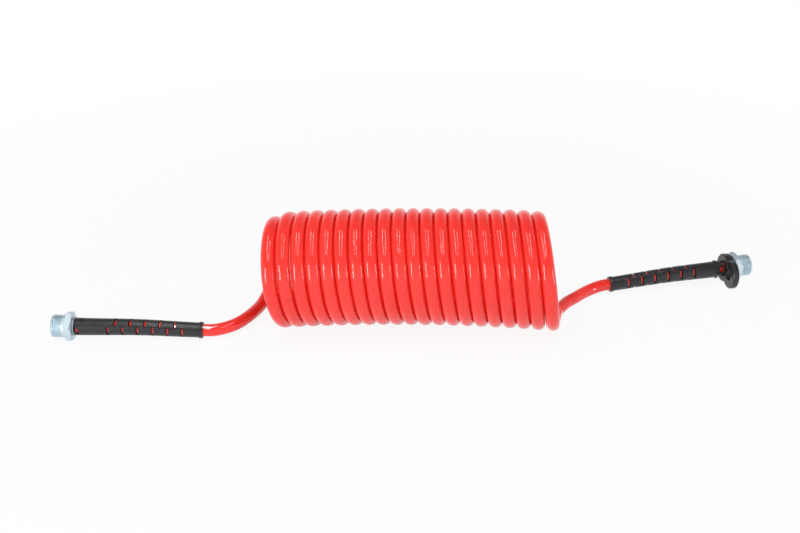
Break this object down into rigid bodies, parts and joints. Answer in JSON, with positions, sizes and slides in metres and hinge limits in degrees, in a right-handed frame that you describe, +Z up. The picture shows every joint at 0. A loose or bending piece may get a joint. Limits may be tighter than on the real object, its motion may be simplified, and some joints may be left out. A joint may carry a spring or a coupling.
{
  "type": "coiled air hose",
  "caption": "Coiled compressed-air hose with a straight tail, a slotted kink guard and a swivelling threaded screw fitting at each end, and a hanging clip on one end.",
  "frame": {"origin": "middle of the footprint's box on the surface that the hose lies on", "axes": "+X along the coil towards the end with the hanging clip, +Z up, +Y away from the side that the coil's turns bow from"},
  "size_m": [0.6964, 0.1722, 0.1151],
  "materials": {
    "hose": "glossy, slightly translucent",
    "zinc_plated_steel": "bright zinc plating with a bluish cast",
    "rubber_seal": "matt",
    "crimp_aluminium": "satin",
    "guard_plastic": "matt"
  },
  "bodies": {
    "coil_and_left_end": {"hose_coil": "hose", "hose_tail_left": "hose", "hose_end_left": "hose", "hose_stem_left": "zinc_plated_steel", "stem_o_ring_left": "rubber_seal", "dust_ring_left": "rubber_seal", "stop_ring_left": "zinc_plated_steel", "crimp_ring_left": "crimp_aluminium", "kink_guard_left": "guard_plastic"},
    "left_screw": {"swivel_screw_left": "zinc_plated_steel"},
    "right_end": {"hose_tail_right": "hose", "hose_end_right": "hose", "hose_stem_right": "zinc_plated_steel", "stem_o_ring_right": "rubber_seal", "dust_ring_right": "rubber_seal", "stop_ring_right": "zinc_plated_steel", "crimp_ring_right": "crimp_aluminium", "kink_guard_right": "guard_plastic"},
    "right_screw": {"swivel_screw_right": "zinc_plated_steel"},
    "clip": {"hanger_clip": "guard_plastic"}
  },
  "joints": [
    {"name": "coil_stretch", "type": "slide", "parent": "coil_and_left_end", "child": "right_end", "axis": [1, 0, 0], "range_m": [-0.015, 3.2], "stiffness_N_per_m": 12, "deforming": ["hose_coil"]},
    {"name": "left_swivel", "type": "hinge", "parent": "coil_and_left_end", "child": "left_screw", "pos_m": [-0.32737, -0.07159, 0.0155], "axis": [-0.9957, -0.0696, 0.0605], "continuous": true},
    {"name": "right_swivel", "type": "hinge", "parent": "right_end", "child": "right_screw", "pos_m": [0.32673, 0.06991, 0.01454], "axis": [0.9732, 0.2247, 0.048], "continuous": true},
    {"name": "clip_swivel", "type": "hinge", "parent": "right_end", "child": "clip", "pos_m": [0.32118, 0.06863, 0.01426], "axis": [0.9732, 0.2247, 0.048], "continuous": true}
  ]
}
